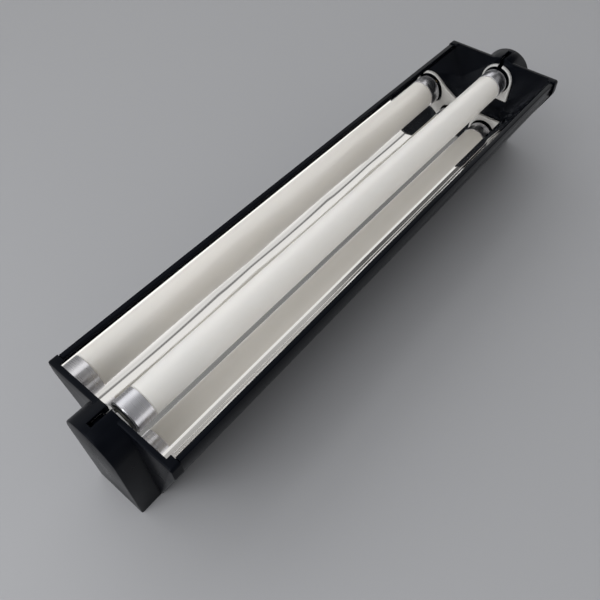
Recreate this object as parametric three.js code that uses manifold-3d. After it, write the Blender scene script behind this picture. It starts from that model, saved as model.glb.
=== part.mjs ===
// A linear light: a black trough with a polished reflector, an end cap with a rotary
// lampholder at each end, and a milky light tube between them that twists a quarter turn.
// Millimetres. +X runs along the tube, +Y to the side, +Z out of the trough's open face.
// The origin is the centre of the base, on the surface that the light lies on.

import * as THREE from 'three';
import { mergeVertices } from 'three/addons/utils/BufferGeometryUtils.js';
import Module from 'manifold-3d';

const wasm = await Module();
wasm.setup();

// Clearances
const seatGap = 0.3;
const sleeveGap = 0.25;
const cutOverrun = 1;

// Tube
const tubeLength = 288.3;
const tubeDiameter = 15.2;
const tubeWall = 0.8;
const axisDepth = 11.7;
const ferruleProud = 0.15;
const ferruleLength = 9.5;
const ferruleWall = 0.5;
const ferruleEdge = 1.2;
const neckWall = 0.7;
const neckInset = 1.3;
const discThickness = 2.2;
const discRim = 1.65;
const pinDiameter = 2.35;
const pinSpacing = 4.75;
const pinLength = 7;
const pinRoot = 1.2;

// Light strip and driver inside the tube
const stripDropShare = 0.51;
const stripThickness = 0.8;
const stripEdgeRoom = 0.5;
const stripEndRoom = 6;
const chipLength = 3.5;
const chipWidth = 2.8;
const chipHeight = 0.7;
const chipPitch = 12;
const tubeDriverLength = 24;
const tubeDriverWidthShare = 0.8;
const capacitorRadius = 2.2;
const capacitorLength = 9;
const capacitorSinkShare = 0.9;
const coilWidth = 5.4;
const coilLength = 7;
const coilHeight = 4.2;

// Trough
const rimWidth = 67.4;
const rimHeight = 57.5;
const rimEdge = 0.5;
const sideBulge = 0.3;
const bulgeDepth = 7;
const baseWidth = 28;
const baseEdge = 2;
const troughWall = 1.6;
const floorWall = 1.8;
const lipWidth = 2.4;
const lipDepth = 2.5;

// Reflector
const reflectorSheet = 0.6;
const reflectorBelowTube = 11.2;
const reflectorFloorWidth = 25.8;
const reflectorBendOutShare = 0.365;
const reflectorBendUpShare = 0.15;
const reflectorBendReachShare = 0.9;

// Lampholders
const holderSeat = 1.45;
const holderProud = 1.2;
const holderRing = 1.05;
const holderFoot = 1.9;
const holderFlange = 1.7;
const holderBackWall = 1.6;
const recessRoom = 0.6;
const recessDepth = 1.2;
const slotRoom = 0.125;
const rotorRim = 2.25;
const rotorDiscThickness = 1.7;
const rotorHubRim = 0.1;
const rotorWeb = 1;
const contactWidth = 2.4;
const contactThickness = 0.5;
const contactTail = 3.3;

// End caps
const plateThickness = 2.4;
const plateEdge = 0.7;
const capProud = 0.7;
const capTop = 0.45;
const capEdge = 1.5;
const capFadeDepth = 23.5;
const sleeveReach = 2;
const tabReach = 4.8;
const tabThickness = 0.9;
const bossRoom = 0.9;
const bossWall = 1.6;
const bossEdge = 0.6;
const slotRunout = 5;
const shelfThickness = 1.2;
const sillHeight = 1.4;

// Driver under the reflector
const driverEndRoom = 72.1;
const driverSideRoom = 2.4;
const driverHeadroom = 9.2;
const driverWall = 0.8;
const flangeLength = 8;
const flangeWidth = 6;
const flangeThickness = 1.2;
const screwBossHeight = 3.6;
const screwBossWall = 1.3;
const screwRadius = 1.3;
const screwDepth = 4.2;
const screwHeadRim = 1.2;
const screwHeadHeight = 1.7;
const screwCrossShare = 0.6;
const circuitThickness = 1.2;
const circuitMargin = 1.6;
const circuitStand = 1.2;
const standRadius = 1.3;
const componentLengthShares = [0.16, 0.1, 0.12, 0.2];
const componentPlaceShares = [-0.36, -0.14, 0.06, 0.32];
const componentHeightShares = [0.62, 0.5, 0.4, 0.66];
const componentWidthShare = 0.72;

// Supply terminal and cable inlet
const terminalEndRoom = 27.1;
const terminalLength = 20;
const terminalSideRoom = 1;
const terminalHeight = 9;
const terminalPoles = 2;
const poleRadius = 3.2;
const poleHeight = 2.2;
const inletHeight = 11;
const grommetBoreRadius = 3.3;
const grommetWall = 1.4;
const grommetLip = 1.3;
const grommetFlange = 1;

// Leads
const leadRadius = 0.85;
const leadStraight = 2;
const leadClimb = 14;
const leadCorner = 6;
const leadBackGap = 0.5;
const leadStep = 5;

// Facets
const roundSegments = 48;
const inletSegments = 32;
const smallSegments = 16;
const leadSegments = 8;
const curveSegments = 10;
const edgeSegments = 3;

// Tube and pins
const tubeEnd = tubeLength / 2;
const tubeRadius = tubeDiameter / 2;
const tubeBore = tubeRadius - tubeWall;
const axisHeight = rimHeight - axisDepth;
const ferruleRadius = tubeRadius + ferruleProud;
const ferruleInner = ferruleRadius - ferruleWall;
const pinOffset = pinSpacing / 2;
const pinRadius = pinDiameter / 2;
const pinReach = pinOffset + pinRadius;
const pinTip = tubeEnd + pinLength;
const mouthRadius = pinReach + discRim;
const discBack = tubeEnd - ferruleWall - seatGap;
const stripTop = axisHeight - stripDropShare * tubeBore;
const stripEnd = tubeEnd - ferruleLength - stripEndRoom;

// Rotors and lampholders
const slotWidth = pinDiameter + 2 * slotRoom;
const holderFace = tubeEnd + holderSeat;
const recessRadius = ferruleRadius + recessRoom;
const holderRadius = recessRadius + holderRing;
const holderFlangeRadius = holderRadius + holderFlange;
const holderFloor = axisHeight - holderRadius - holderFoot;
const rotorRadius = pinReach + rotorRim;
const rotorHubRadius = pinReach + rotorHubRim;
const rotorFront = holderFace + recessDepth;
const slotBottom = pinTip + seatGap;
const rotorBack = slotBottom + rotorWeb;
const boreEnd = rotorBack + seatGap;
const holderBack = boreEnd + holderBackWall;
const contactPlace = rotorHubRadius + seatGap + contactThickness / 2;
const contactEnd = holderBack + contactTail;

// End caps and trough
const rimHalf = rimWidth / 2;
const baseHalf = baseWidth / 2;
const widestHalf = rimHalf + sideBulge;
const widestHeight = rimHeight - bulgeDepth;
const fadeHeight = rimHeight - capFadeDepth;
const lipFloor = rimHeight - lipDepth;
const plateInner = holderFace + holderProud;
const plateMiddle = plateInner + plateThickness / 2;
const plateOuter = plateInner + plateThickness;
const troughEnd = plateInner - seatGap;
const sleeveEnd = plateInner - sleeveReach;
const capTopHeight = rimHeight + capTop;
const tabInner = rimHalf + capProud - tabReach;
const tabFloor = capTopHeight - tabThickness;
const hollowRadius = holderFlangeRadius + bossRoom;
const bossRadius = hollowRadius + bossWall;
const bossTop = axisHeight + bossRadius;
const endWallInner = contactEnd + seatGap;
const bossEnd = endWallInner + bossWall;
const slotEnd = pinTip + slotRunout;
const reflectorFloor = axisHeight - tubeRadius - reflectorBelowTube;
const passageFloor = bossWall + sillHeight;
const passageTop = reflectorFloor - reflectorSheet - seatGap;

// Driver, terminal and inlet
const trayFloor = floorWall + seatGap;
const driverHalf = troughEnd - driverEndRoom;
const lidFloor = reflectorFloor - reflectorSheet - driverHeadroom - driverWall;
const trayTop = lidFloor - seatGap;
const driverHeight = trayTop - trayFloor;
const driverSide = baseHalf - troughWall - driverSideRoom;
const screwPlace = driverHalf + flangeLength / 2;
const screwBossTop = floorWall + screwBossHeight;
const screwBossRadius = screwRadius + seatGap + screwBossWall;
const screwHeadRadius = screwRadius + screwHeadRim;
const flangeFloor = screwBossTop + seatGap;
const flangeTop = flangeFloor + flangeThickness;
const terminalEnd = troughEnd - terminalEndRoom;
const terminalStart = terminalEnd - terminalLength;
const terminalSide = driverSide - terminalSideRoom;
const terminalTop = trayFloor + terminalHeight;
const grommetNeckRadius = grommetBoreRadius + grommetWall;
const grommetFlangeRadius = grommetNeckRadius + grommetLip;
const padInner = endWallInner - grommetFlange;
const leadHeight = (terminalTop + poleHeight + reflectorFloor - reflectorSheet) / 2;

// Solids, cuts and joins

function solidOf(geometry) {
  const bare = geometry.clone();
  bare.deleteAttribute('normal');
  bare.deleteAttribute('uv');
  const merged = mergeVertices(bare);
  return new wasm.Manifold(new wasm.Mesh({
    numProp: 3,
    vertProperties: Float32Array.from(merged.attributes.position.array),
    triVerts: Uint32Array.from(merged.index.array),
  }));
}

function geometryOf(solid) {
  const mesh = solid.getMesh();
  const geometry = new THREE.BufferGeometry();
  geometry.setAttribute('position', new THREE.BufferAttribute(mesh.vertProperties, 3));
  geometry.setIndex(new THREE.BufferAttribute(mesh.triVerts, 1));
  geometry.computeVertexNormals();
  return geometry;
}

function joined(...geometries) {
  return geometries.map(solidOf).reduce((whole, piece) => whole.add(piece));
}

function cut(base, ...tools) {
  const start = base instanceof THREE.BufferGeometry ? solidOf(base) : base;
  return tools.reduce((rest, tool) => rest.subtract(solidOf(tool)), start);
}

// Shapes are drawn in the Y-Z plane and run along X.

const alongX = new THREE.Matrix4().makeBasis(
  new THREE.Vector3(0, 1, 0), new THREE.Vector3(0, 0, 1), new THREE.Vector3(1, 0, 0));

function prism(shape, start, end, edge = 0) {
  const geometry = new THREE.ExtrudeGeometry(shape, {
    depth: end - start - 2 * edge,
    bevelEnabled: edge > 0,
    bevelThickness: edge,
    bevelSize: edge,
    bevelOffset: -edge,
    bevelSegments: 2,
    curveSegments,
  });
  geometry.applyMatrix4(alongX);
  return geometry.translate(start + edge, 0, 0);
}

function block(x0, x1, y0, y1, z0, z1) {
  const geometry = new THREE.BoxGeometry(x1 - x0, y1 - y0, z1 - z0);
  return geometry.translate((x0 + x1) / 2, (y0 + y1) / 2, (z0 + z1) / 2);
}

function rod(radius, x0, x1, y = 0, z = axisHeight, segments = roundSegments) {
  const geometry = new THREE.CylinderGeometry(radius, radius, x1 - x0, segments);
  geometry.rotateZ(-Math.PI / 2);
  return geometry.translate((x0 + x1) / 2, y, z);
}

function post(radius, x, y, z0, z1, segments = smallSegments) {
  const geometry = new THREE.CylinderGeometry(radius, radius, z1 - z0, segments);
  geometry.rotateX(Math.PI / 2);
  return geometry.translate(x, y, (z0 + z1) / 2);
}

// A ring or disc turned about the tube's axis, from points of place along X and radius.
function turned(points, z = axisHeight, segments = roundSegments) {
  const profile = points.map(([x, radius]) => new THREE.Vector2(radius, x));
  const geometry = new THREE.LatheGeometry([...profile, profile[0].clone()], segments);
  geometry.rotateZ(-Math.PI / 2);
  return geometry.translate(0, 0, z);
}

// An outline whose corners [y, z, setback] are rounded off over their setback.
function roundedShape(corners) {
  const shape = new THREE.Shape();
  corners.forEach(([y, z, setback], i) => {
    const corner = new THREE.Vector2(y, z);
    const [before, after] = [corners.at(i - 1), corners[(i + 1) % corners.length]].map(
      ([ny, nz]) => new THREE.Vector2(ny - y, nz - z).setLength(setback).add(corner));
    if (i === 0) shape.moveTo(before.x, before.y);
    else shape.lineTo(before.x, before.y);
    if (setback > 0) shape.quadraticCurveTo(corner.x, corner.y, after.x, after.y);
  });
  shape.closePath();
  return shape;
}

function mirroredCorners(rightSide) {
  const leftSide = rightSide.map(([y, z, setback]) => [-y, z, setback]).reverse();
  return [...rightSide, ...leftSide];
}

// A round top about the tube's axis with straight sides down to a flat foot.
function archShape(radius, foot) {
  const shape = new THREE.Shape();
  shape.moveTo(-radius, foot);
  shape.lineTo(radius, foot);
  shape.absarc(0, axisHeight, radius, 0, Math.PI, false);
  shape.closePath();
  return shape;
}

// The places of a cap's two corner tabs, which lie over the rim at the trough's end.
function tabRooms(gap) {
  return [-1, 1].map((side) => {
    const inner = side * (tabInner - gap);
    const outer = side * rimWidth;
    return block(sleeveEnd - gap, plateInner + cutOverrun, Math.min(inner, outer),
      Math.max(inner, outer), tabFloor - gap, capTopHeight + cutOverrun);
  });
}

// The trough's side line, from the base corner up to its widest height.
function sideAt(height) {
  return baseHalf + (widestHalf - baseHalf) * height / widestHeight;
}

function troughShape(gap) {
  return roundedShape(mirroredCorners([
    [baseHalf + gap, -gap, baseEdge],
    [widestHalf + gap, widestHeight, 0],
    [rimHalf + gap, rimHeight + gap, rimEdge],
  ]));
}

function capShape() {
  return roundedShape(mirroredCorners([
    [baseHalf, 0, baseEdge],
    [sideAt(fadeHeight), fadeHeight, capEdge],
    [widestHalf + capProud, widestHeight, capEdge],
    [rimHalf + capProud, capTopHeight, capEdge],
  ]));
}

// The mirror face of one side, from under the lip down to the floor's fold. It bends near a
// corner that lies at a share of its width and height from the fold.
function reflectorCurve(offset) {
  const top = new THREE.Vector2(
    rimHalf - lipWidth - seatGap + offset, lipFloor - seatGap);
  const foot = new THREE.Vector2(
    reflectorFloorWidth / 2 + offset / 2, reflectorFloor - offset);
  const corner = new THREE.Vector2(
    foot.x + reflectorBendOutShare * (top.x - foot.x),
    foot.y + reflectorBendUpShare * (top.y - foot.y));
  return new THREE.CubicBezierCurve(
    top, top.clone().lerp(corner, reflectorBendReachShare),
    foot.clone().lerp(corner, reflectorBendReachShare), foot).getPoints(curveSegments);
}

function troughGeometry() {
  const inner = roundedShape(mirroredCorners([
    [baseHalf - troughWall, floorWall, baseEdge],
    [widestHalf - troughWall, widestHeight, 0],
    [rimHalf - troughWall, lipFloor, 0],
  ]));
  const mouth = rimHalf - lipWidth;
  const bosses = [-1, 1].map((side) => post(
    screwBossRadius, side * screwPlace, 0, floorWall / 2, screwBossTop));
  const holes = [-1, 1].map((side) => post(
    screwRadius + seatGap, side * screwPlace, 0,
    screwBossTop - screwDepth, screwBossTop + cutOverrun));
  const shell = cut(
    prism(troughShape(0), -troughEnd, troughEnd),
    prism(inner, -troughEnd - cutOverrun, troughEnd + cutOverrun),
    block(-troughEnd - cutOverrun, troughEnd + cutOverrun, -mouth, mouth,
      lipFloor - cutOverrun, rimHeight + cutOverrun));
  const carried = bosses.reduce((whole, boss) => whole.add(solidOf(boss)), shell);
  const notches = [-1, 1].flatMap((end) => tabRooms(seatGap).map(
    (room) => (end > 0 ? room : room.clone().rotateZ(Math.PI))));
  return geometryOf(cut(carried, ...holes, ...notches));
}

function reflectorGeometry() {
  const right = [...reflectorCurve(reflectorSheet).reverse(), ...reflectorCurve(0)];
  const left = right.map(({ x, y }) => new THREE.Vector2(-x, y)).reverse();
  return prism(new THREE.Shape([...right, ...left]), -troughEnd, troughEnd);
}

// Ends are made at +X. The near end is the same parts turned half round.

function capGeometry(hasInlet) {
  const troughRoom = cut(
    prism(troughShape(sleeveGap), sleeveEnd - cutOverrun, plateInner),
    ...tabRooms(0));
  const sleeve = cut(
    prism(capShape(), sleeveEnd, plateMiddle),
    block(sleeveEnd - cutOverrun, plateInner, -rimWidth, rimWidth, -cutOverrun, fadeHeight),
    block(sleeveEnd - cutOverrun, plateInner, -tabInner, tabInner,
      fadeHeight - cutOverrun, capTopHeight + cutOverrun));
  const outside = sleeve.subtract(troughRoom)
    .add(solidOf(prism(capShape(), plateInner, plateOuter - plateEdge)))
    .add(solidOf(prism(capShape(), plateInner, plateOuter, plateEdge)))
    .add(solidOf(prism(archShape(bossRadius, 0), plateInner, bossEnd, bossEdge)));
  const hollow = cut(outside,
    prism(archShape(hollowRadius, bossWall), plateOuter, endWallInner));
  const shelfTop = holderFloor - seatGap;
  const shelfReach = hollowRadius + bossWall / 2;
  const shelved = hollow.add(solidOf(block(plateMiddle, holderBack,
    -shelfReach, shelfReach, shelfTop - shelfThickness, shelfTop)));
  const whole = cut(shelved,
    prism(archShape(holderRadius + seatGap, shelfTop),
      plateInner - cutOverrun, plateOuter + cutOverrun),
    block(plateInner - cutOverrun, plateOuter + cutOverrun, -holderRadius, holderRadius,
      passageFloor, passageTop),
    block(sleeveEnd - cutOverrun, slotEnd, -slotWidth / 2, slotWidth / 2,
      axisHeight, bossTop + cutOverrun));
  return geometryOf(hasInlet ? withInlet(whole) : whole);
}

// A pad inside the end wall carries the cable grommet, whose flange lies flush outside.
function withInlet(cap) {
  const pad = rod(grommetFlangeRadius + bossWall, padInner, endWallInner + bossWall / 2,
    0, inletHeight, inletSegments);
  return cut(
    cap.add(solidOf(pad)),
    rod(grommetNeckRadius + seatGap, padInner - cutOverrun, bossEnd + cutOverrun,
      0, inletHeight, inletSegments),
    rod(grommetFlangeRadius + seatGap, bossEnd - grommetFlange - seatGap,
      bossEnd + cutOverrun, 0, inletHeight, inletSegments));
}

function grommetGeometry() {
  const inner = padInner - seatGap;
  const outer = bossEnd - grommetFlange;
  return turned([
    [inner - grommetFlange, grommetBoreRadius],
    [inner - grommetFlange, grommetFlangeRadius],
    [inner, grommetFlangeRadius],
    [inner, grommetNeckRadius],
    [outer, grommetNeckRadius],
    [outer, grommetFlangeRadius],
    [bossEnd, grommetFlangeRadius],
    [bossEnd, grommetBoreRadius],
  ], inletHeight, inletSegments);
}

function holderGeometry() {
  const flangeFront = plateOuter + seatGap;
  const body = joined(
    prism(archShape(holderRadius, holderFloor), holderFace, flangeFront + cutOverrun),
    prism(archShape(holderFlangeRadius, holderFloor), flangeFront, holderBack));
  const holeHalf = contactWidth / 2 + seatGap;
  const contactHoles = [-1, 1].map((side) => {
    const middle = side * contactPlace;
    const half = contactThickness / 2 + seatGap;
    return block(boreEnd - cutOverrun, holderBack + cutOverrun, middle - half,
      middle + half, axisHeight - holeHalf, axisHeight + holeHalf);
  });
  return geometryOf(cut(body,
    rod(recessRadius, holderFace - cutOverrun, rotorFront),
    rod(rotorRadius + seatGap, rotorFront - cutOverrun, boreEnd),
    block(holderFace - cutOverrun, slotBottom, -slotWidth / 2, slotWidth / 2,
      axisHeight, bossTop),
    ...contactHoles));
}

// The rotor's slot lies across when the tube is locked, as it is at rest.
function rotorGeometry() {
  const body = joined(
    rod(rotorRadius, rotorFront, rotorFront + rotorDiscThickness),
    rod(rotorHubRadius, rotorFront, rotorBack));
  const across = rotorRadius + cutOverrun;
  return geometryOf(cut(body, block(rotorFront - cutOverrun, slotBottom, -across, across,
    axisHeight - slotWidth / 2, axisHeight + slotWidth / 2)));
}

// A springy strip beside the rotor's hub, with a tail out of the lampholder's back.
function contactGeometry(side) {
  const middle = side * contactPlace;
  return block(rotorFront + rotorDiscThickness + seatGap, contactEnd,
    middle - contactThickness / 2, middle + contactThickness / 2,
    axisHeight - contactWidth / 2, axisHeight + contactWidth / 2);
}

function tubeGeometry() {
  const shoulder = tubeEnd - ferruleLength - seatGap;
  const neckRadius = ferruleInner - seatGap;
  const neckEnd = discBack - discThickness - neckInset;
  const neckBore = neckRadius - neckWall;
  const step = shoulder - tubeWall;
  const taper = step - (tubeBore - neckBore);
  return turned([
    [-neckEnd, neckBore], [-neckEnd, neckRadius],
    [-shoulder, neckRadius], [-shoulder, tubeRadius],
    [shoulder, tubeRadius], [shoulder, neckRadius],
    [neckEnd, neckRadius], [neckEnd, neckBore],
    [step, neckBore], [taper, tubeBore],
    [-taper, tubeBore], [-step, neckBore],
  ]);
}

function ferruleGeometry() {
  const back = tubeEnd - ferruleWall;
  const edge = Array.from({ length: edgeSegments + 1 }, (_, i) => {
    const angle = i / edgeSegments * Math.PI / 2;
    return [tubeEnd - ferruleEdge * (1 - Math.sin(angle)),
      ferruleRadius - ferruleEdge * (1 - Math.cos(angle))];
  });
  return turned([
    [tubeEnd - ferruleLength, ferruleInner], [tubeEnd - ferruleLength, ferruleRadius],
    ...edge,
    [tubeEnd, mouthRadius], [back, mouthRadius],
    [back, ferruleInner - ferruleEdge / 2], [back - ferruleEdge / 2, ferruleInner],
  ]);
}

// The insulating disc behind the ferrule's mouth, with a hub through it that holds the pins.
function discGeometry() {
  const front = discBack - discThickness;
  const body = joined(
    rod(ferruleInner - ferruleEdge / 2 - seatGap, front, discBack),
    rod(mouthRadius - seatGap, front, tubeEnd));
  const holes = [-1, 1].map((side) => rod(pinRadius + seatGap, front - cutOverrun,
    tubeEnd + cutOverrun, side * pinOffset, axisHeight, smallSegments));
  return geometryOf(cut(body, ...holes));
}

function pinGeometry(side) {
  return rod(pinRadius, discBack - discThickness - pinRoot, pinTip, side * pinOffset,
    axisHeight, smallSegments);
}

function stripGeometry() {
  const foot = stripTop - stripThickness;
  const half = Math.sqrt((tubeBore - stripEdgeRoom) ** 2 - (axisHeight - foot) ** 2);
  const chips = Math.floor(2 * (stripEnd - tubeDriverLength) / chipPitch);
  const first = -(chips - 1) / 2 * chipPitch;
  let strip = solidOf(block(-stripEnd, stripEnd, -half, half, foot, stripTop));
  for (let i = 0; i < chips; i += 1) {
    const x = first + i * chipPitch;
    strip = strip.add(solidOf(block(x - chipLength / 2, x + chipLength / 2,
      -chipWidth / 2, chipWidth / 2, foot + stripThickness / 2, stripTop + chipHeight)));
  }
  return geometryOf(strip);
}

function tubeDriverGeometry() {
  const start = -stripEnd;
  const floor = stripTop + seatGap;
  const top = floor + stripThickness;
  const end = start + tubeDriverLength;
  const half = tubeDriverWidthShare * (tubeBore - stripEdgeRoom - stripThickness) / 2;
  const capacitorStart = start + stripThickness;
  const coilEnd = end - stripThickness;
  return geometryOf(joined(
    block(start, end, -half, half, floor, top),
    rod(capacitorRadius, capacitorStart, capacitorStart + capacitorLength,
      0, top + capacitorSinkShare * capacitorRadius, smallSegments),
    block(coilEnd - coilLength, coilEnd, -coilWidth / 2, coilWidth / 2,
      top - stripThickness / 2, top + coilHeight)));
}

function driverTrayGeometry() {
  const tray = cut(
    block(-driverHalf, driverHalf, -driverSide, driverSide, trayFloor, trayTop),
    block(-driverHalf + driverWall, driverHalf - driverWall, -driverSide + driverWall,
      driverSide - driverWall, trayFloor + driverWall, trayTop + cutOverrun));
  const flanges = [-1, 1].map((end) => {
    const near = end * (driverHalf - driverWall / 2);
    const far = end * (driverHalf + flangeLength);
    return block(Math.min(near, far), Math.max(near, far), -flangeWidth / 2,
      flangeWidth / 2, flangeFloor, flangeTop);
  });
  const holes = [-1, 1].map((end) => post(screwRadius + seatGap, end * screwPlace, 0,
    flangeFloor - cutOverrun, flangeTop + cutOverrun));
  const whole = flanges.reduce((rest, flange) => rest.add(solidOf(flange)), tray);
  return geometryOf(cut(whole, ...holes));
}

function driverLidGeometry() {
  const key = driverWall + seatGap;
  const reach = driverHalf - driverWall / 2 - seatGap;
  return geometryOf(joined(
    block(-reach, reach, -driverSide, driverSide, lidFloor, lidFloor + driverWall),
    block(-driverHalf + key, driverHalf - key, -driverSide + key, driverSide - key,
      lidFloor - driverWall, lidFloor + driverWall / 2)));
}

function driverCircuitGeometry() {
  const half = driverHalf - circuitMargin;
  const side = driverSide - circuitMargin;
  const inside = trayFloor + driverWall;
  const underside = inside + circuitStand;
  const top = underside + circuitThickness;
  const room = driverHeight - 2 * driverWall - circuitStand - circuitThickness;
  const stands = [-1, 1].flatMap((end) => [-1, 1].map((edge) => post(standRadius,
    end * (half - 2 * standRadius), edge * (side - 2 * standRadius),
    inside + seatGap, underside + circuitThickness / 2)));
  const components = componentPlaceShares.map((placeShare, i) => {
    const middle = placeShare * 2 * driverHalf;
    const reach = componentLengthShares[i] * driverHalf;
    const width = componentWidthShare * side;
    return block(middle - reach, middle + reach, -width, width,
      top - circuitThickness / 2, top + componentHeightShares[i] * room);
  });
  return geometryOf(joined(
    block(-half, half, -side, side, underside, top), ...stands, ...components));
}

function screwGeometry() {
  const seat = flangeTop + seatGap;
  const top = seat + screwHeadHeight;
  const tip = screwBossTop - screwDepth + seatGap;
  const slot = screwHeadHeight / 2;
  const arm = screwCrossShare * screwHeadRadius;
  return geometryOf(cut(
    joined(
      post(screwHeadRadius, screwPlace, 0, seat, top),
      post(screwRadius, screwPlace, 0, tip, seat + slot)),
    block(screwPlace - arm, screwPlace + arm, -slot / 2, slot / 2,
      seat + slot, top + cutOverrun),
    block(screwPlace - slot / 2, screwPlace + slot / 2, -arm, arm,
      seat + slot, top + cutOverrun)));
}

function terminalGeometry() {
  const middle = (terminalStart + terminalEnd) / 2;
  const pitch = 2 * terminalSide / terminalPoles;
  const poles = Array.from({ length: terminalPoles }, (_, i) => post(
    poleRadius, middle, (i - (terminalPoles - 1) / 2) * pitch,
    terminalTop - terminalHeight / 2, terminalTop + poleHeight));
  return geometryOf(joined(
    block(terminalStart, terminalEnd, -terminalSide, terminalSide, trayFloor, terminalTop),
    ...poles));
}

// Leads

function leadGeometry(points) {
  const path = new THREE.CatmullRomCurve3(
    points.map(([x, y, z]) => new THREE.Vector3(x, y, z)), false, 'centripetal');
  const section = new THREE.Shape();
  section.absarc(0, 0, leadRadius, 0, 2 * Math.PI, false);
  return new THREE.ExtrudeGeometry(section, {
    extrudePath: path,
    steps: Math.ceil(path.getLength() / leadStep),
    curveSegments: leadSegments / 2,
  });
}

// From the driver's end wall to the tail of a contact, up behind the lampholder.
function lampLeadGeometry(side) {
  const start = driverHalf + seatGap;
  const rise = holderBack + leadBackGap + leadRadius;
  const y = side * contactPlace;
  const foot = (flangeTop + trayTop) / 2;
  return leadGeometry([
    [start, y, foot],
    [start + leadStraight, y, foot],
    [start + leadClimb, y, leadHeight],
    [(start + rise) / 2, y, leadHeight],
    [rise - 2 * leadCorner, y, leadHeight],
    [rise - leadCorner, y, leadHeight],
    [rise, y, leadHeight + leadCorner],
    [rise, y, leadHeight + 2 * leadCorner],
    [rise, y, axisHeight - contactWidth / 2 - seatGap],
  ]);
}

function supplyLeadGeometry(side) {
  const spread = (flangeWidth / 2 + driverSide) / 2;
  return rod(leadRadius, driverHalf + seatGap, terminalStart - seatGap, side * spread,
    trayFloor + terminalHeight / 2, leadSegments);
}

// Materials and the scene

function finish(color, roughness, metalness) {
  return () => new THREE.MeshStandardMaterial({ color, roughness, metalness });
}

const blackPlastic = finish(0x101216, 0.28, 0);
const mirror = finish(0xe6e8ea, 0.04, 1);
const milky = finish(0xe9e6df, 0.3, 0);
const aluminium = finish(0xc9ccd0, 0.25, 1);
const whitePlastic = finish(0xe4e4e2, 0.45, 0);
const brass = finish(0xc9a24a, 0.3, 1);
const nickel = finish(0xb9bbbd, 0.2, 1);
const board = finish(0xf0f0ea, 0.6, 0);
const greenBoard = finish(0x2f6b3c, 0.6, 0);
const steel = finish(0xa7abad, 0.35, 1);
const rubber = finish(0x17181a, 0.8, 0);
const insulation = finish(0xd8d8d4, 0.5, 0);

function piece(name, geometry, material) {
  const mesh = new THREE.Mesh(geometry, material());
  mesh.name = name;
  return mesh;
}

const light = new THREE.Group();

light.add(
  piece('housing_trough', troughGeometry(), blackPlastic),
  piece('reflector', reflectorGeometry(), mirror),
  piece('tube_diffuser', tubeGeometry(), milky),
  piece('led_strip', stripGeometry(), board),
  piece('tube_driver', tubeDriverGeometry(), greenBoard),
  piece('driver_tray', driverTrayGeometry(), steel),
  piece('driver_lid', driverLidGeometry(), steel),
  piece('driver_circuit', driverCircuitGeometry(), greenBoard),
  piece('terminal_block', terminalGeometry(), whitePlastic),
  piece('cable_grommet', grommetGeometry(), rubber),
);

for (const [name, turn] of [['near', Math.PI], ['far', 0]]) {
  const end = new THREE.Group();
  end.rotation.z = turn;
  end.add(
    piece(`end_cap_${name}`, capGeometry(name === 'far'), blackPlastic),
    piece(`lampholder_${name}`, holderGeometry(), whitePlastic),
    piece(`rotor_${name}`, rotorGeometry(), blackPlastic),
    piece(`ferrule_${name}`, ferruleGeometry(), aluminium),
    piece(`base_disc_${name}`, discGeometry(), whitePlastic),
    piece(`driver_screw_${name}`, screwGeometry(), steel),
  );
  for (const [label, side] of [['a', -1], ['b', 1]]) {
    end.add(
      piece(`contact_${name}_${label}`, contactGeometry(side), brass),
      piece(`pin_${name}_${label}`, pinGeometry(side), nickel),
      piece(`lamp_lead_${name}_${label}`, lampLeadGeometry(side), insulation),
    );
    if (name === 'far') {
      end.add(piece(`supply_lead_${label}`, supplyLeadGeometry(side), insulation));
    }
  }
  light.add(end);
}

export default light;
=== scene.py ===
"""A short linear light lying on its back on a plain grey table.

Everything is in metres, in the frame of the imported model: +X along the tube, +Z up.
"""

import math

import bmesh
import bpy
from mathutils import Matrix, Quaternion, Vector


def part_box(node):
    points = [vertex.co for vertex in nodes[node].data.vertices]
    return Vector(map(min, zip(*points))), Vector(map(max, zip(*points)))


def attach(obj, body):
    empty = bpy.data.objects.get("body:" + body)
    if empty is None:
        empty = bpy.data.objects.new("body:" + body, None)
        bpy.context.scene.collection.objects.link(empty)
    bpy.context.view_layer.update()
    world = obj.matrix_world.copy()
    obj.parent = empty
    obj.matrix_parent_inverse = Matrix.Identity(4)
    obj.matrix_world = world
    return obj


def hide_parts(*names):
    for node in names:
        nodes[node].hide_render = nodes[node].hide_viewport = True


MM = 0.001

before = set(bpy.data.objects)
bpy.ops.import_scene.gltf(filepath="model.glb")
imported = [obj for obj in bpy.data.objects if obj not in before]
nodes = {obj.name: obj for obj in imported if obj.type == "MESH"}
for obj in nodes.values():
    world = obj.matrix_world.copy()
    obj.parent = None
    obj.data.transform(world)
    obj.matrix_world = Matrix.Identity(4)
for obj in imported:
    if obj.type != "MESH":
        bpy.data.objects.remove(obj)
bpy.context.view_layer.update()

# Camera: its place, and the way it looks, as the photograph was taken
CAMERA_PLACE = Vector((-180.1, -116.8, 252.92)) * MM
CAMERA_HEADING = math.radians(39.80)
CAMERA_PITCH = math.radians(52.564)
CAMERA_ROLL = math.radians(-0.243)
CAMERA_LENS = 36.0
CAMERA_SENSOR = 36.0
CAMERA_CLIP = (0.01, 50)

# Lamp: a soft square one behind the camera
LAMP_PLACE = Vector((-0.6, 0.0, 0.6))
LAMP_AIM = Vector((-0.15, -0.1, 0))
LAMP_SIZE = 0.5
LAMP_POWER = 2.2

# Sky: where its bands pass from those overhead to those ahead, as the x of a direction,
# and where its plain level near the horizon passes into the bands, as the z
SKY_AHEAD_STARTS, SKY_AHEAD_FULL = 0.47, 0.57
SKY_BANDS_START, SKY_BANDS_FULL = math.sin(math.radians(14)), math.sin(math.radians(24))
SKY_HORIZON = 0.7

TABLE_HALF = 4.0

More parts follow.
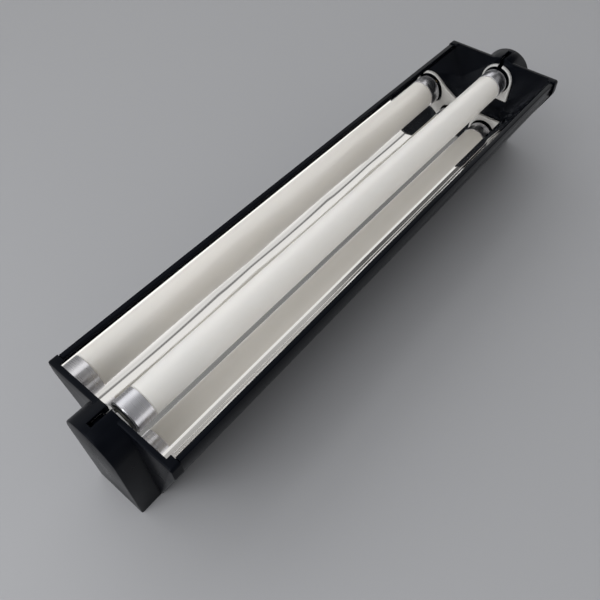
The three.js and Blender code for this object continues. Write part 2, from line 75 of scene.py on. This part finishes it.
# Real sizes that the finer pieces share with the model
TUBE_AXIS_Z = (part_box("tube_diffuser")[0].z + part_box("tube_diffuser")[1].z) / 2
TUBE_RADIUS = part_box("tube_diffuser")[1].y
TUBE_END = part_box("tube_diffuser")[1].x
FERRULE_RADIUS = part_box("ferrule_far")[1].y
FERRULE_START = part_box("ferrule_far")[0].x
FERRULE_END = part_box("ferrule_far")[1].x
REFLECTOR_LOW, REFLECTOR_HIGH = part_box("reflector")

# Painted shade in a lampholder: its recess and slot are painted black from these depths past the
# ferrule
RECESS_RADIUS = FERRULE_RADIUS + 0.65 * MM
RECESS_SHADE_DEPTH = 1.75 * MM
SLOT_HALF = 1.6 * MM
SLOT_SHADE_DEPTH = 4.3 * MM

# Reflector section: each side wall bends near a corner, at a share of its width and height
SHEET = 0.6 * MM
FLOOR_HALF = 12.9 * MM
BEND_OUT = 0.365
BEND_UP = 0.15
BEND_REACH = 0.9
WALL_STEPS = 60
FLOOR_STEPS = 6

# The thin sheet's side walls sway a little along their length
WAVE_DEPTH = 0.2 * MM
WAVE_LENGTH = 190 * MM
WAVE_PLACE = -100 * MM
WAVE_STEPS = 120

# How fine the turned pieces are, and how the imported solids' edges are rounded
RING_SEGMENTS = 160
WELD_DISTANCE = 0.002 * MM
FLAT_ANGLE = math.radians(1)
ROUND_ANGLE = math.radians(30)
ROUND_SEGMENTS = 3
HOUSING_EDGE = 0.35 * MM
CAP_EDGE = 0.3 * MM
SMALL_EDGE = 0.2 * MM

# Depths of the surface grain
MOULDED_GRAIN = 0.02 * MM
DRAWN_GRAIN = 0.01 * MM

# Sockets of the mix node for colours
MIX_FACTOR, MIX_FIRST, MIX_SECOND, MIX_RESULT = 0, 6, 7, 2


# Meshes

def new_object(name, data):
    obj = bpy.data.objects.new(name, data)
    bpy.context.scene.collection.objects.link(obj)
    return obj


def mesh_from(name, points, faces):
    mesh = bpy.data.meshes.new(name)
    mesh.from_pydata([tuple(p) for p in points], [], faces)
    mesh.validate()
    return new_object(name, mesh)


def sharpen(obj, degrees):
    """Keeps the edges that bend more than this sharp, and shades the rest smooth."""
    mesh = obj.data
    work = bmesh.new()
    work.from_mesh(mesh)
    bmesh.ops.recalc_face_normals(work, faces=work.faces)
    limit = math.radians(degrees)
    for edge in work.edges:
        edge.smooth = len(edge.link_faces) == 2 and edge.calc_face_angle(0.0) < limit
    for face in work.faces:
        face.smooth = True
    work.to_mesh(mesh)
    work.free()


def between_rings(faces, rings, count, closed):
    """Adds the faces that join rings of count points each, the last to the first if closed."""
    for k in range(rings if closed else rings - 1):
        after = (k + 1) % rings
        for i in range(count):
            j = (i + 1) % count
            faces.append((k * count + i, k * count + j, after * count + j, after * count + i))


def ring_solid(name, profile):
    """Turns a closed profile of (x, radius) about the tube's axis."""
    points = []
    for k in range(RING_SEGMENTS):
        angle = 2 * math.pi * k / RING_SEGMENTS
        for x, radius in profile:
            points.append((x, radius * math.cos(angle), TUBE_AXIS_Z + radius * math.sin(angle)))
    faces = []
    between_rings(faces, RING_SEGMENTS, len(profile), closed=True)
    return mesh_from(name, points, faces)


def arc(cx, cr, radius, start, end, steps):
    """Points of an arc in the (x, radius) plane, angles in degrees."""
    found = []
    for k in range(steps + 1):
        angle = math.radians(start + (end - start) * k / steps)
        found.append((cx + radius * math.cos(angle), cr + radius * math.sin(angle)))
    return found


def softened(name, width):
    """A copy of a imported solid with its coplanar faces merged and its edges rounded."""
    mesh = nodes[name].data.copy()
    obj = new_object(name + "_moulded", mesh)
    work = bmesh.new()
    work.from_mesh(mesh)
    bmesh.ops.remove_doubles(work, verts=work.verts, dist=WELD_DISTANCE)
    bmesh.ops.dissolve_limit(work, angle_limit=FLAT_ANGLE, verts=work.verts,
                             edges=work.edges, delimit={"NORMAL"})
    work.to_mesh(mesh)
    work.free()
    bevel = obj.modifiers.new("edges", "BEVEL")
    bevel.width = width
    bevel.segments = ROUND_SEGMENTS
    bevel.limit_method = "ANGLE"
    bevel.angle_limit = ROUND_ANGLE
    graph = bpy.context.evaluated_depsgraph_get()
    rounded = bpy.data.meshes.new_from_object(obj.evaluated_get(graph))
    obj.modifiers.clear()
    obj.data = rounded
    sharpen(obj, 40)
    return obj


def place(obj, body, finish, replaced):
    obj.data.materials.clear()
    obj.data.materials.append(finish)
    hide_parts(replaced)
    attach(obj, body)
    return obj


# Materials

def material(name, base, roughness, metallic=0.0, **sockets):
    """A plain surface: its node tree and shader take the noise that is added to it."""
    made = bpy.data.materials.new(name)
    made.use_nodes = True
    shader = made.node_tree.nodes["Principled BSDF"]
    shader.inputs["Base Color"].default_value = (*base, 1.0)
    shader.inputs["Roughness"].default_value = roughness
    shader.inputs["Metallic"].default_value = metallic
    for socket, value in sockets.items():
        shader.inputs[socket.replace("_", " ")].default_value = value
    return made, made.node_tree, shader


def node(tree, kind, **values):
    """A new node, with its settings or else its input sockets set."""
    made = tree.nodes.new(kind)
    for key, value in values.items():
        if hasattr(made, key):
            setattr(made, key, value)
        else:
            made.inputs[key.replace("_", " ")].default_value = value
    return made


def noise(tree, scale, stretch=(1, 1, 1), detail=3.0):
    coordinates = node(tree, "ShaderNodeTexCoord")
    mapping = node(tree, "ShaderNodeMapping", Scale=stretch)
    texture = node(tree, "ShaderNodeTexNoise", Scale=scale, Detail=detail)
    tree.links.new(coordinates.outputs["Object"], mapping.inputs["Vector"])
    tree.links.new(mapping.outputs["Vector"], texture.inputs["Vector"])
    return texture.outputs["Fac"]


def ramp(tree, source, low, high, start=0.3, end=0.7):
    """Maps a value between start and end onto one between low and high."""
    mapped = node(tree, "ShaderNodeMapRange", From_Min=start, From_Max=end,
                  To_Min=low, To_Max=high)
    tree.links.new(source, mapped.inputs["Value"])
    return mapped.outputs["Result"]


def mix(tree, factor, first, second):
    """Mixes two colours, each a written one or a socket."""
    mixed = node(tree, "ShaderNodeMix", data_type="RGBA")
    tree.links.new(factor, mixed.inputs[MIX_FACTOR])
    for socket, color in ((MIX_FIRST, first), (MIX_SECOND, second)):
        if isinstance(color, tuple):
            mixed.inputs[socket].default_value = (*color, 1.0)
        else:
            tree.links.new(color, mixed.inputs[socket])
    return mixed.outputs[MIX_RESULT]


def drift_color(tree, shader, source, first, second):
    color = mix(tree, ramp(tree, source, 0, 1), first, second)
    tree.links.new(color, shader.inputs["Base Color"])


def drift_roughness(tree, shader, source, low, high):
    tree.links.new(ramp(tree, source, low, high), shader.inputs["Roughness"])


def bump(tree, shader, height, strength, distance):
    bumped = node(tree, "ShaderNodeBump", Strength=strength, Distance=distance)
    tree.links.new(height, bumped.inputs["Height"])
    tree.links.new(bumped.outputs["Normal"], shader.inputs["Normal"])


def black_plastic(name, roughness, grain):
    made, tree, shader = material(name, (0.002, 0.0025, 0.0045), roughness, IOR=1.16,
                                  Specular_Tint=(0.78, 0.86, 1.0, 1.0))
    cloud = noise(tree, 60.0)
    fine = noise(tree, 1800.0, detail=2.0)
    drift_color(tree, shader, cloud, (0.0015, 0.002, 0.0035), (0.003, 0.0036, 0.006))
    drift_roughness(tree, shader, cloud, roughness * 0.85, roughness * 1.2)
    bump(tree, shader, fine, grain, MOULDED_GRAIN)
    return made


def polished_sheet():
    made, tree, shader = material("polished_sheet", (0.95, 0.94, 0.925), 0.03, 1.0)
    drawn = noise(tree, 900.0, stretch=(0.01, 1, 1), detail=4.0)
    cloud = noise(tree, 25.0)
    drift_color(tree, shader, cloud, (0.94, 0.93, 0.915), (0.96, 0.95, 0.935))
    drift_roughness(tree, shader, drawn, 0.015, 0.05)
    bump(tree, shader, drawn, 0.05, DRAWN_GRAIN)
    return made


def milky_plastic():
    """Lets light through its body, with a very weak painted glow that brightens the undersides
    the lighting leaves too dim.
    """
    # The emission is a painted glow: the tube itself is not switched on
    made, tree, shader = material("milky_plastic", (0.89, 0.86, 0.81), 0.3,
                                  Subsurface_Weight=1.0, Subsurface_Radius=(1, 0.97, 0.92),
                                  Subsurface_Scale=4 * MM, Emission_Strength=0.08,
                                  Emission_Color=(1.0, 0.95, 0.88, 1.0))
    drift_color(tree, shader, noise(tree, 18.0), (0.88, 0.85, 0.80), (0.90, 0.875, 0.825))
    return made


def drawn_aluminium():
    made, tree, shader = material("drawn_aluminium", (0.64, 0.64, 0.675), 0.285, 1.0)
    turned = noise(tree, 2500.0, stretch=(1, 0.03, 0.03))
    cloud = noise(tree, 200.0)
    drift_color(tree, shader, cloud, (0.60, 0.60, 0.64), (0.68, 0.68, 0.71))
    drift_roughness(tree, shader, turned, 0.26, 0.31)
    bump(tree, shader, turned, 0.005, DRAWN_GRAIN)
    return made


def moulded(name, base, roughness, grain=0.1):
    """A plastic, rubber or coated finish with soft mottling and a fine grain."""
    made, tree, shader = material(name, base, roughness)
    cloud = noise(tree, 150.0)
    fine = noise(tree, 2500.0, detail=2.0)
    drift_color(tree, shader, cloud,
                tuple(c * 0.95 for c in base), tuple(c * 1.04 for c in base))
    bump(tree, shader, fine, grain, MOULDED_GRAIN)
    return made


def metal(name, base, roughness):
    made, tree, shader = material(name, base, roughness, 1.0)
    streak = noise(tree, 1200.0, stretch=(0.1, 1, 1))
    drift_color(tree, shader, streak, tuple(c * 0.92 for c in base), base)
    drift_roughness(tree, shader, streak, roughness * 0.7, roughness * 1.4)
    bump(tree, shader, streak, 0.08, DRAWN_GRAIN)
    return made


housing_black = black_plastic("housing_black", 0.2, 0.05)
cap_black = black_plastic("cap_black", 0.3, 0.1)
mirror = polished_sheet()
milky = milky_plastic()
aluminium = drawn_aluminium()
white_plastic = moulded("white_moulding", (0.72, 0.72, 0.71), 0.4)
insulator = moulded("insulator", (0.70, 0.67, 0.60), 0.5)
board_white = moulded("board_white", (0.85, 0.85, 0.82), 0.5)
board_green = moulded("board_green", (0.02, 0.12, 0.04), 0.45)
rubber = moulded("rubber_black", (0.012, 0.012, 0.013), 0.7, 0.3)
lead_white = moulded("lead_white", (0.68, 0.68, 0.66), 0.45)
steel = metal("plated_steel", (0.56, 0.57, 0.58), 0.3)
brass = metal("spring_brass", (0.72, 0.53, 0.22), 0.3)
nickel = metal("nickel_plate", (0.66, 0.66, 0.65), 0.2)


# Reflector

def bezier(a, b, c, d, t):
    return (a * (1 - t) ** 3 + b * 3 * t * (1 - t) ** 2
            + c * 3 * t ** 2 * (1 - t) + d * t ** 3)


def reflector_line():
    """The mirror face's right half as (y, z), from the rim down to the middle of the floor."""
    top = Vector((REFLECTOR_HIGH.y - SHEET, REFLECTOR_HIGH.z))
    foot = Vector((FLOOR_HALF, REFLECTOR_LOW.z + SHEET))
    corner = foot + Vector((BEND_OUT * (top.x - foot.x), BEND_UP * (top.y - foot.y)))
    high = top.lerp(corner, BEND_REACH)
    low = foot.lerp(corner, BEND_REACH)
    wall = [bezier(top, high, low, foot, k / WALL_STEPS) for k in range(WALL_STEPS + 1)]
    floor = [Vector((foot.x * (1 - k / FLOOR_STEPS), foot.y))
             for k in range(1, FLOOR_STEPS + 1)]
    return wall + floor


def make_reflector():
    half = reflector_line()
    face = half + [Vector((-p.x, p.y)) for p in reversed(half[:-1])]
    back = []
    for i, p in enumerate(face):
        a, b = face[max(i - 1, 0)], face[min(i + 1, len(face) - 1)]
        along = (b - a).normalized()
        back.append(p - Vector((along.y, -along.x)) * SHEET)
    outline = face + back[::-1]
    points = []
    for k in range(WAVE_STEPS + 1):
        x = REFLECTOR_LOW.x + (REFLECTOR_HIGH.x - REFLECTOR_LOW.x) * k / WAVE_STEPS
        wave = WAVE_DEPTH * math.cos(2 * math.pi * (x - WAVE_PLACE) / WAVE_LENGTH)
        for p in outline:
            height = (p.y - REFLECTOR_LOW.z) / (REFLECTOR_HIGH.z - REFLECTOR_LOW.z)
            sway = wave * math.sin(math.pi * min(max(height, 0.0), 1.0)) ** 2
            points.append((x, p.x - math.copysign(sway, p.x), p.y))
    count = len(outline)
    faces = [tuple(range(count)), tuple(reversed(range(WAVE_STEPS * count,
                                                       (WAVE_STEPS + 1) * count)))]
    between_rings(faces, WAVE_STEPS + 1, count, closed=False)
    obj = mesh_from("reflector_sheet", points, faces)
    sharpen(obj, 30)
    return place(obj, "luminaire", mirror, "reflector")


# Tube and ferrules

def make_tube():
    shoulder = FERRULE_START - 0.3 * MM
    round_off = 0.5 * MM
    neck = FERRULE_RADIUS - 0.8 * MM
    bore = neck - 0.7 * MM
    right = arc(shoulder - round_off, TUBE_RADIUS - round_off, round_off, 90, 0, 6)
    right += [(shoulder, neck), (TUBE_END, neck), (TUBE_END, bore)]
    left = [(-x, r) for x, r in reversed(right)]
    obj = ring_solid("tube_milky", left + right)
    sharpen(obj, 40)
    return place(obj, "tube", milky, "tube_diffuser")


def make_ferrule(name, side):
    r = FERRULE_RADIUS
    start, end = FERRULE_START, FERRULE_END
    edge = 1.2 * MM
    lip = 0.12 * MM
    wall = 0.5 * MM
    mouth = 5.2 * MM
    fold = 0.2 * MM
    profile = arc(start + lip, r - lip, lip, 180, 90, 4)
    profile += arc(end - edge, r - edge, edge, 90, 0, 10)
    profile += [(end, mouth + fold), (end - fold, mouth), (end - wall, mouth),
                (end - wall, r - edge), (end - edge, r - wall), (start, r - wall)]
    obj = ring_solid("ferrule_shell_" + name, [(side * x, rad) for x, rad in profile])
    sharpen(obj, 35)
    return place(obj, "tube", aluminium, "ferrule_" + name)


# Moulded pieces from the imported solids

def paint_recess_shade(obj, side):
    """The lampholder is pale outside, and painted black as painted shade in its round recess and
    deep in its slot.
    """
    obj.data.materials.append(cap_black)
    work = bmesh.new()
    work.from_mesh(obj.data)
    bmesh.ops.bisect_plane(work, geom=work.verts[:] + work.edges[:] + work.faces[:],
                           plane_co=(side * (FERRULE_END + SLOT_SHADE_DEPTH), 0, 0), plane_no=(1, 0, 0))
    work.to_mesh(obj.data)
    work.free()
    for face in obj.data.polygons:
        depth = abs(face.center.x) - FERRULE_END
        radius = math.hypot(face.center.y, face.center.z - TUBE_AXIS_Z)
        # Faces this deep in the recess or the slot are painted black as painted shade
        shaded_recess = depth > RECESS_SHADE_DEPTH and radius < RECESS_RADIUS
        shaded_slot = depth > SLOT_SHADE_DEPTH and abs(face.center.y) < SLOT_HALF
        if shaded_recess or shaded_slot:
            face.material_index = 1


def make_mouldings():
    place(softened("housing_trough", HOUSING_EDGE), "luminaire",
          housing_black, "housing_trough")
    for name, side in (("near", -1), ("far", 1)):
        place(softened("end_cap_" + name, CAP_EDGE), "luminaire",
              cap_black, "end_cap_" + name)
        holder = place(softened("lampholder_" + name, SMALL_EDGE), "luminaire",
                       white_plastic, "lampholder_" + name)
        paint_recess_shade(holder, side)
        # The rotor, deep in the recess, is black as painted shade
        place(softened("rotor_" + name, SMALL_EDGE), "rotor_" + name,
              cap_black, "rotor_" + name)


def finish_inner():
    """The pieces that stay as packed take a finish by what they are made of."""
    finishes = {
        "led_strip": board_white, "tube_driver": board_green, "driver_tray": steel,
        "driver_lid": steel, "driver_circuit": board_green, "terminal_block": white_plastic,
        "cable_grommet": rubber, "base_disc": insulator, "driver_screw": steel,
        "contact": brass, "pin": nickel, "lamp_lead": lead_white, "supply_lead": lead_white,
    }
    for name, obj in nodes.items():
        for start, finish in finishes.items():
            if name.startswith(start):
                obj.data.materials.clear()
                obj.data.materials.append(finish)


make_reflector()
make_tube()
make_ferrule("near", -1)
make_ferrule("far", 1)
make_mouldings()
finish_inner()


# Table, light and camera

def make_table():
    half = TABLE_HALF
    table = mesh_from("table", [(-half, -half, 0), (half, -half, 0), (half, half, 0),
                                (-half, half, 0)], [(0, 1, 2, 3)])
    made, tree, shader = material("table_grey", (0.43, 0.436, 0.455), 0.6)
    drift_color(tree, shader, noise(tree, 3.0), (0.425, 0.431, 0.45), (0.435, 0.441, 0.46))
    table.data.materials.append(made)


def maths(tree, operation, *values):
    made = node(tree, "ShaderNodeMath", operation=operation)
    for socket, value in zip(made.inputs, values):
        if isinstance(value, (int, float)):
            socket.default_value = value
        else:
            tree.links.new(value, socket)
    return made.outputs[0]


def sky_bands(tree, across, middle, line):
    """Bands of brightness along the object, by where they lie from -1 at -Y to 1 at +Y.

    The middle one, and the dark line between two bright ones, take the levels given.
    """
    bands = [(-0.9, 0.3), (-0.3, 0.3), (-0.2, middle), (0.24, middle), (0.32, 0.85),
             (0.445, 0.85), (0.453, line), (0.469, line), (0.478, 0.8), (0.5, 0.7),
             (0.56, 1.2), (0.9, 1.15)]
    strip = node(tree, "ShaderNodeValToRGB")
    stops = strip.color_ramp.elements
    stops[0].position, stops[1].position = 0.0, 1.0
    for lean, level in bands:
        stop = stops.new((lean + 1) / 2)
        stop.color = (level, level, level, 1)
    stops[0].color = stops[1].color
    stops[-1].color = stops[-2].color
    tree.links.new(across, strip.inputs["Fac"])
    return strip.outputs["Color"]


def make_world():
    """A sky in long bands over the object, bright at +Y and dim at -Y, plain round its foot.

    Where a band lies is a direction's lean to the side, y by its length in the y-z plane.
    """
    world = bpy.data.worlds.new("studio")
    bpy.context.scene.world = world
    world.use_nodes = True
    tree = world.node_tree
    direction = node(tree, "ShaderNodeTexCoord")
    parts = node(tree, "ShaderNodeSeparateXYZ")
    tree.links.new(direction.outputs["Generated"], parts.inputs[0])
    x, y, z = parts.outputs
    reach = maths(tree, "SQRT", maths(tree, "ADD", maths(tree, "MULTIPLY", y, y),
                                      maths(tree, "MULTIPLY", z, z)))
    lean = maths(tree, "DIVIDE", y, maths(tree, "MAXIMUM", reach, 0.001))
    across = maths(tree, "MULTIPLY_ADD", lean, 0.5, 0.5)
    overhead = sky_bands(tree, across, 0.45, 0.2)
    ahead = sky_bands(tree, across, 0.1, 0.17)
    bands = mix(tree, ramp(tree, x, 0, 1, SKY_AHEAD_STARTS, SKY_AHEAD_FULL), overhead, ahead)
    whole = mix(tree, ramp(tree, z, 0, 1, SKY_BANDS_START, SKY_BANDS_FULL),
                (SKY_HORIZON,) * 3, bands)
    tree.links.new(whole, tree.nodes["Background"].inputs["Color"])


def make_lamp():
    data = bpy.data.lights.new("softbox", "AREA")
    data.shape = "SQUARE"
    data.size = LAMP_SIZE
    data.energy = LAMP_POWER
    lamp = new_object("softbox", data)
    lamp.location = LAMP_PLACE
    lamp.rotation_mode = "QUATERNION"
    lamp.rotation_quaternion = (LAMP_AIM - LAMP_PLACE).to_track_quat("-Z", "Y")


def make_camera():
    data = bpy.data.cameras.new("camera")
    data.lens = CAMERA_LENS
    data.sensor_width = CAMERA_SENSOR
    data.sensor_fit = "HORIZONTAL"
    data.clip_start, data.clip_end = CAMERA_CLIP
    camera = new_object("camera", data)
    camera.location = CAMERA_PLACE
    forward = Vector((math.cos(CAMERA_PITCH) * math.cos(CAMERA_HEADING),
                      math.cos(CAMERA_PITCH) * math.sin(CAMERA_HEADING),
                      -math.sin(CAMERA_PITCH)))
    camera.rotation_mode = "QUATERNION"
    camera.rotation_quaternion = forward.to_track_quat("-Z", "Y") @ Quaternion(
        (0, 0, 1), CAMERA_ROLL)
    bpy.context.scene.camera = camera


make_table()
make_world()
make_lamp()
make_camera()

bpy.context.scene.view_settings.view_transform = "Standard"
